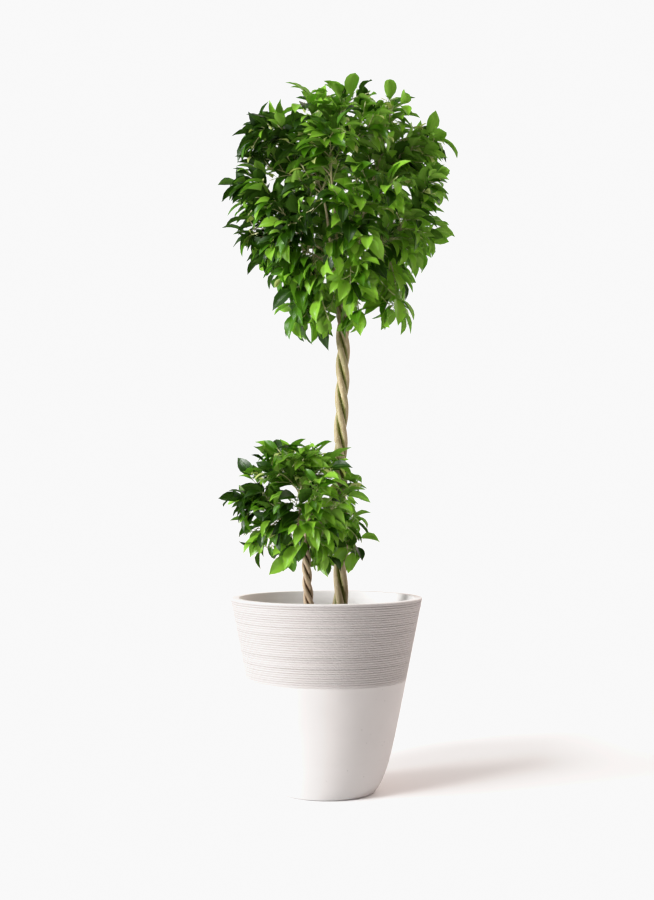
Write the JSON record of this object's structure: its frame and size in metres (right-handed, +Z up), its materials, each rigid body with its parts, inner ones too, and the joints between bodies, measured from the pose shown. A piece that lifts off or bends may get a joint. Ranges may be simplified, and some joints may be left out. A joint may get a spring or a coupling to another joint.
{
  "type": "potted weeping fig topiary",
  "caption": "Weeping fig topiary with a tall and a low ball-shaped head of leaves on twisted stems, in a round tapered pot with a ribbed upper band.",
  "frame": {"origin": "middle of the pot's flat underside, on the surface the plant stands on", "axes": "+Z up, +X to the right and +Y away from whoever faces the front, where the low head stands in front of the tall stem and to its left"},
  "size_m": [0.4822, 0.4612, 1.3619],
  "materials": {
    "pot": "matt off-white moulded composite, fine ribs on the upper band, smooth below",
    "soil": "dark brown potting mix, coarse and matt",
    "bark": "smooth pale tan young bark with olive-green streaks",
    "leaf": "glossy mid to dark green leaves, yellow-green at the shoot tips"
  },
  "bodies": {
    "root": {"pot": "pot", "soil": "soil", "tall_strand_1": "bark", "tall_strand_2": "bark", "tall_strand_3": "bark", "tall_bough_1": "bark", "tall_bough_2": "bark", "tall_bough_3": "bark", "tall_bough_4": "bark", "tall_bough_5": "bark", "tall_bough_6": "bark", "tall_bough_7": "bark", "tall_bough_8": "bark", "tall_bough_9": "bark", "tall_foliage_1": "leaf", "tall_foliage_2": "leaf", "tall_foliage_3": "leaf", "tall_foliage_4": "leaf", "tall_foliage_5": "leaf", "tall_foliage_6": "leaf", "tall_foliage_7": "leaf", "tall_foliage_8": "leaf", "tall_foliage_9": "leaf", "low_strand_1": "bark", "low_strand_2": "bark", "low_strand_3": "bark", "low_bough_1": "bark", "low_bough_2": "bark", "low_bough_3": "bark", "low_bough_4": "bark", "low_foliage_1": "leaf", "low_foliage_2": "leaf", "low_foliage_3": "leaf", "low_foliage_4": "leaf"}
  },
  "joints": []
}
